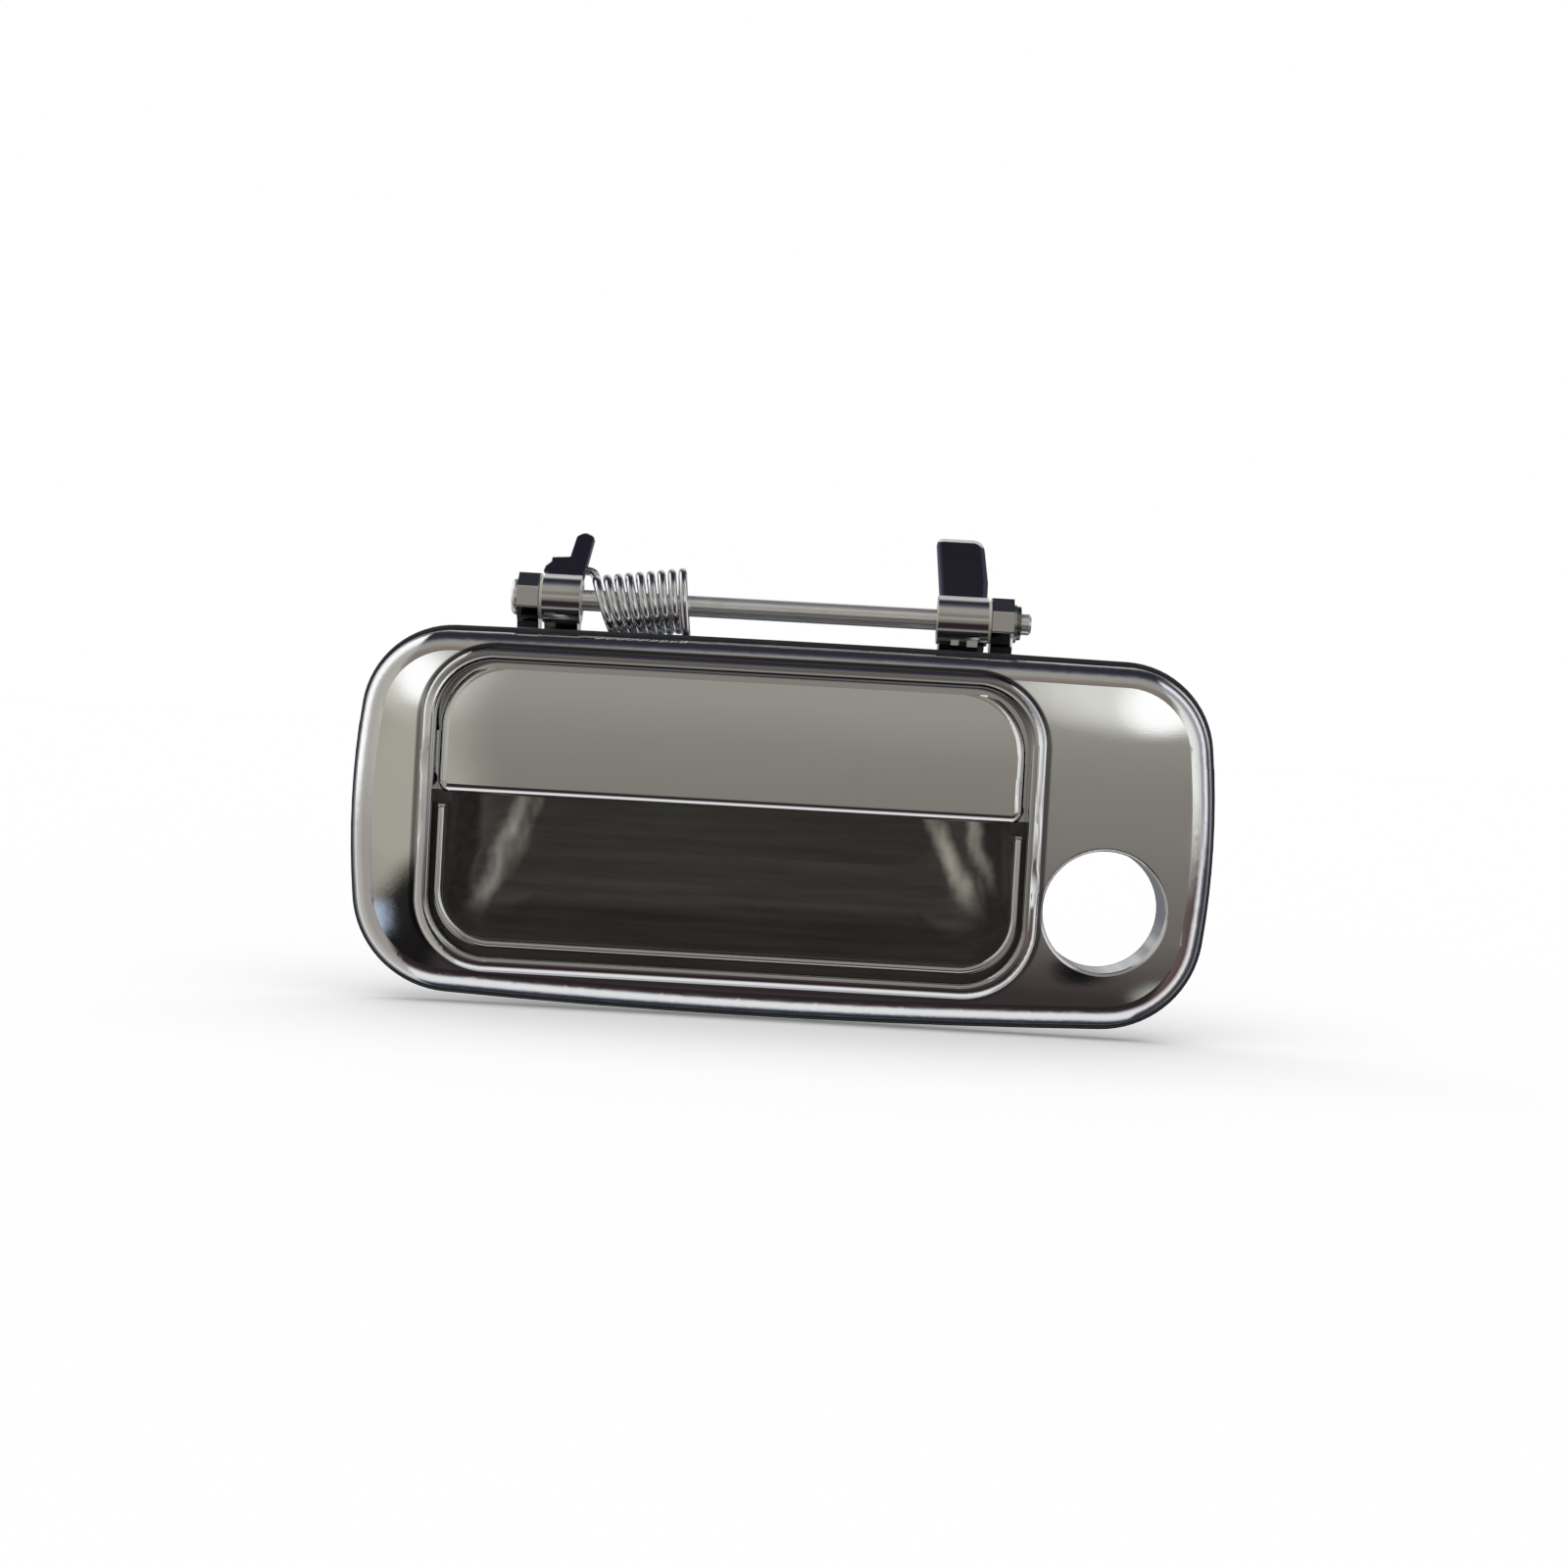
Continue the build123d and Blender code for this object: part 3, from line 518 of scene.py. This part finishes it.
def make_floor():
    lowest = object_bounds()[0][2]
    bpy.ops.mesh.primitive_plane_add(size=FLOOR_SIZE, location=(0, 0, lowest - FLOOR_GAP))
    floor = bpy.context.object
    floor.name = "stage_floor"
    floor.visible_shadow = False
    made, t = material("floor_mat")
    diffuse = t.node("ShaderNodeBsdfDiffuse")
    t.put(diffuse.inputs["Color"], (0.86, 0.86, 0.86))
    t.output(diffuse.outputs[0])
    floor.data.materials.append(made)
    floor.is_shadow_catcher = True
    floor.visible_glossy = False


# ---------------------------------------------------------------------------
# Surroundings the chrome mirrors, laid out by the slope of the surface that
# mirrors them to the camera. Slopes are in degrees: across is how far it faces
# right, up is how far it faces up. Colours are display values, 0 to 255.
# ---------------------------------------------------------------------------
TO_CAMERA = (0.0, -0.99838, 0.05691)

# up slope, colour
VERTICAL = [
    (-70, (30, 33, 44)), (-60, (44, 48, 58)), (-55, (68, 72, 80)), (-51, (120, 124, 132)),
    (-47, (185, 188, 192)), (-42, (214, 216, 218)), (-32, (222, 223, 224)),
    (-27, (208, 208, 209)), (-24, (150, 148, 152)), (-20, (80, 72, 76)), (-16, (46, 38, 41)),
    (-9, (38, 32, 34)), (-5.5, (56, 50, 50)), (-3.6, (104, 99, 95)), (0, (120, 116, 111)),
    (2.5, (128, 125, 119)), (5, (144, 142, 135)), (8, (147, 145, 139)), (11, (118, 113, 108)),
    (15, (126, 118, 112)), (20, (146, 141, 133)), (29, (146, 146, 142)), (33, (128, 128, 131)),
    (37, (92, 93, 100)), (41, (62, 62, 69)), (46, (46, 46, 54)), (60, (44, 45, 52)),
    (66, (80, 82, 86)), (72, (170, 171, 172)), (84, (215, 215, 216)),
]
# total slope, colour, for surfaces facing to one side and up or down
LEFT_UP = [
    (0, (150, 146, 140)), (8, (186, 184, 178)), (14, (172, 170, 163)), (26, (165, 163, 158)),
    (36, (176, 174, 170)), (42, (222, 221, 219)), (48, (250, 249, 250)), (62, (252, 252, 254)),
    (70, (90, 92, 100)), (85, (60, 62, 70)),
]
LEFT_DOWN = [
    (0, (120, 116, 112)), (8, (110, 108, 108)), (14, (150, 147, 146)), (28, (150, 146, 142)),
    (36, (166, 162, 156)), (46, (176, 174, 170)), (56, (205, 205, 207)), (66, (150, 152, 160)),
    (75, (60, 62, 70)), (85, (50, 52, 60)),
]
RIGHT_UP = [
    (0, (150, 146, 140)), (6, (190, 190, 184)), (12, (228, 231, 226)), (22, (212, 213, 210)),
    (27, (196, 197, 197)), (31, (150, 149, 154)), (37, (160, 160, 166)), (41, (226, 226, 231)),
    (46, (226, 226, 232)), (52, (100, 99, 108)), (58, (58, 58, 66)), (85, (50, 50, 58)),
]
RIGHT_DOWN = [
    (0, (120, 116, 112)), (5, (176, 178, 170)), (8, (190, 196, 184)), (10.5, (96, 84, 82)),
    (24, (84, 70, 70)), (27, (120, 112, 112)), (31, (190, 187, 188)), (38, (230, 229, 231)),
    (43, (150, 150, 152)), (48, (72, 73, 80)), (58, (50, 52, 58)), (85, (44, 46, 54)),
]
# soft light and dark patches seen in the nearly flat faces:
# across, up, half width, half height, colour, strength, edge softness
PATCHES = (
    (-5.2, 0.5, 0.9, 4.5, (170, 168, 156), 0.8, 0.5),
    (5.25, -0.6, 0.42, 5.4, (206, 212, 198), 0.85, 0.35),
    (-5.0, 5.3, 0.8, 1.8, (206, 204, 196), 0.7, 0.5),
    (-4.95, 5.0, 0.32, 1.0, (255, 255, 255), 1.0, 0.35),
    (4.2, 6.0, 1.3, 1.3, (222, 222, 216), 0.8, 0.5),
    (4.5, 5.6, 0.46, 1.0, (255, 255, 255), 1.0, 0.35),
    (-4.92, -4.1, 0.48, 2.2, (20, 19, 21), 0.97, 0.2),
    (-5.42, -4.2, 0.17, 0.75, (190, 204, 226), 0.9, 0.3),
    (3.35, -4.8, 0.42, 0.42, (18, 17, 19), 0.97, 0.25),
    (5.0, -5.6, 0.7, 0.8, (222, 228, 216), 0.85, 0.3),
)
ROOM_DARK, ROOM_LIGHT = (112, 113, 117), (208, 208, 207)


def tone(display):
    """A display colour as the light that polished plating needs to mirror it."""
    light = []
    for value in display:
        value = value / 255.0
        value = value / 12.92 if value <= 0.04045 else ((value + 0.055) / 1.055) ** 2.4
        light.append(value / PLATING)
    return tuple(light)


def ladder(t, slope, stops):
    """Colours by slope, from -90 to 90 degrees."""
    return t.ramp(t.scaled(slope, by=1.0 / 180.0, plus=0.5),
                  [((degrees + 90.0) / 180.0, tone(colour)) for degrees, colour in stops])


def mirrored_slopes(t, direction):
    """Total, across and up slope of the surface mirroring a direction to the camera."""
    halfway = t.node("ShaderNodeVectorMath", operation="ADD")
    t.put(halfway.inputs[0], direction)
    t.put(halfway.inputs[1], TO_CAMERA)
    facing = t.node("ShaderNodeVectorMath", operation="NORMALIZE")
    t.put(facing.inputs[0], halfway.outputs[0])
    x, y, z = t.axes(facing.outputs[0])
    slope = t.times(t.math("ARCCOSINE", t.times(y, -1.0)), 180.0 / math.pi)
    sideways = t.math("MAXIMUM", t.hypot(x, z), 1e-5)
    across = t.math("DIVIDE", t.times(slope, x), sideways)
    up = t.math("DIVIDE", t.times(slope, z), sideways)
    return slope, across, up


def mirrored_sky(t):
    direction = t.node("ShaderNodeTexCoord").outputs["Generated"]
    slope, across, up = mirrored_slopes(t, direction)
    # uneven edges, as in a real room
    ripple = t.noise(direction, scale=3.0, detail=3.0, rough=0.6)
    wobble = t.scaled(ripple, by=3.0, plus=-1.5)
    uneven_up = t.scaled(wobble, by=0.9, plus=up)
    uneven_across = t.scaled(wobble, by=0.9, plus=across)

    above = t.fade(uneven_up, off=-3.0, full=4.0)
    sky = ladder(t, uneven_up, VERTICAL)
    left = t.mix(above, ladder(t, slope, LEFT_DOWN), ladder(t, slope, LEFT_UP))
    right = t.mix(above, ladder(t, slope, RIGHT_DOWN), ladder(t, slope, RIGHT_UP))
    side = t.mix(t.fade(across, off=-1.0, full=1.0), left, right)
    spread = t.scaled(t.math("ABSOLUTE", up), by=-0.35, plus=t.math("ABSOLUTE", uneven_across))
    sky = t.mix(t.fade(spread, off=5.5, full=9.5), sky, side)

    for patch_across, patch_up, half_width, half_height, colour, strength, soft in PATCHES:
        dx = t.times(t.math("SUBTRACT", uneven_across, patch_across), 1.0 / half_width)
        dz = t.times(t.math("SUBTRACT", uneven_up, patch_up), 1.0 / half_height)
        inside = t.fade(t.hypot(dx, dz), off=1.0 + soft, full=1.0 - soft)
        sky = t.mix(t.times(inside, strength), sky, tone(colour))

    # the room behind the product, darker below and lighter above
    x, y, z = t.axes(direction)
    behind = t.math("MAXIMUM", t.fade(y, off=0.80, full=0.92),
                    t.times(t.fade(y, off=0.50, full=0.62),
                            t.fade(t.math("ABSOLUTE", x), off=0.40, full=0.55)))
    room_height = t.scaled(ripple, by=0.5, plus=t.times(z, 0.6))
    room = t.mix(t.fade(room_height, off=0.18, full=0.42), tone(ROOM_DARK), tone(ROOM_LIGHT))
    return t.mix(t.times(behind, 0.88), sky, room)


def background(t, colour, strength):
    node = t.node("ShaderNodeBackground")
    t.put(node.inputs[0], colour)
    t.put(node.inputs[1], strength)
    return node.outputs[0]


def make_world():
    """Mirrored sky for reflections, even grey for diffuse rays, white for the camera."""
    world = bpy.data.worlds.new("studio")
    bpy.context.scene.world = world
    world.use_nodes = True
    t = Tree(world.node_tree)
    shader = background(t, mirrored_sky(t), strength=1.0)
    grey = background(t, (0.55, 0.55, 0.56), strength=0.55)
    white = background(t, (1.0, 1.0, 1.0), strength=1.0)
    rays = t.node("ShaderNodeLightPath")
    for ray, replacement in (("Is Diffuse Ray", grey), ("Is Camera Ray", white)):
        chooser = t.node("ShaderNodeMixShader")
        t.put(chooser.inputs[0], rays.outputs[ray])
        t.put(chooser.inputs[1], shader)
        t.put(chooser.inputs[2], replacement)
        shader = chooser.outputs[0]
    t.output(shader, "ShaderNodeOutputWorld")


# ---------------------------------------------------------------------------
# Lights and camera
# ---------------------------------------------------------------------------
def area_light(name, place, target, size, power):
    """A square lamp aimed at target and kept out of reflections."""
    data = bpy.data.lights.new(name, "AREA")
    data.shape = "RECTANGLE"
    data.size = data.size_y = size
    data.energy = power
    lamp = bpy.data.objects.new(name, data)
    bpy.context.scene.collection.objects.link(lamp)
    lamp.location = place
    aim = Vector(target) - Vector(place)
    lamp.rotation_euler = aim.to_track_quat("-Z", "Y").to_euler()
    lamp.visible_glossy = False
    return lamp


def make_lights():
    key = area_light("key", place=(-0.5, -0.7, 0.9), target=(0, 0, 0), size=0.9, power=4.0)
    key.data.use_shadow = False
    area_light("over", place=(0.0, 0.0, 0.60), target=(0, 0.0, -0.04), size=1.0, power=4.5)


CAMERA_PLACE = Vector((0.007, -0.5095, 0.029))
CAMERA_TARGET = Vector((0.0, -0.0095, 0.0))
CAMERA_ROLL = math.radians(3.2)
LENS = 52.4025                  # mm
SENSOR_WIDTH = 36.0             # mm
# where the target falls in the frame, in mm right of and above the sensor's centre
TARGET_RIGHT, TARGET_UP = -0.07875, -1.0575


def camera_axes():
    """Right, up and forward, turned step by step until the target falls in its place."""
    forward = (CAMERA_TARGET - CAMERA_PLACE).normalized()
    for _ in range(20):
        level_right = forward.cross(Vector((0, 0, 1))).normalized()
        level_up = level_right.cross(forward).normalized()
        right = (level_right * math.cos(CAMERA_ROLL)
                 + level_up * math.sin(CAMERA_ROLL)).normalized()
        up = right.cross(forward).normalized()
        sight = CAMERA_TARGET - CAMERA_PLACE
        sight = sight / sight.dot(forward)
        miss_right = sight.dot(right) - TARGET_RIGHT / LENS
        miss_up = sight.dot(up) - TARGET_UP / LENS
        forward = (forward + right * miss_right + up * miss_up).normalized()
    return right, up, forward


def make_camera():
    data = bpy.data.cameras.new("camera")
    data.sensor_width = SENSOR_WIDTH
    data.lens = LENS
    data.clip_start = 0.01
    data.clip_end = 50.0
    camera = bpy.data.objects.new("camera", data)
    bpy.context.scene.collection.objects.link(camera)
    right, up, forward = camera_axes()
    turn = Matrix((right, up, -forward)).transposed()
    camera.matrix_world = Matrix.Translation(CAMERA_PLACE) @ turn.to_4x4()
    bpy.context.scene.camera = camera


# ---------------------------------------------------------------------------
# Build
# ---------------------------------------------------------------------------
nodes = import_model()["nodes"]
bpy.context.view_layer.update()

view = bpy.context.scene.view_settings
view.view_transform = "Standard"
view.look = "None"
view.exposure = 0.0
view.gamma = 1.0

materials = make_materials()
for name, part in nodes.items():
    part.data.materials.clear()
    part.data.materials.append(materials[PART_MATERIALS[name]])
make_spring(materials["spring"])
make_floor()
make_world()
make_lights()
make_camera()
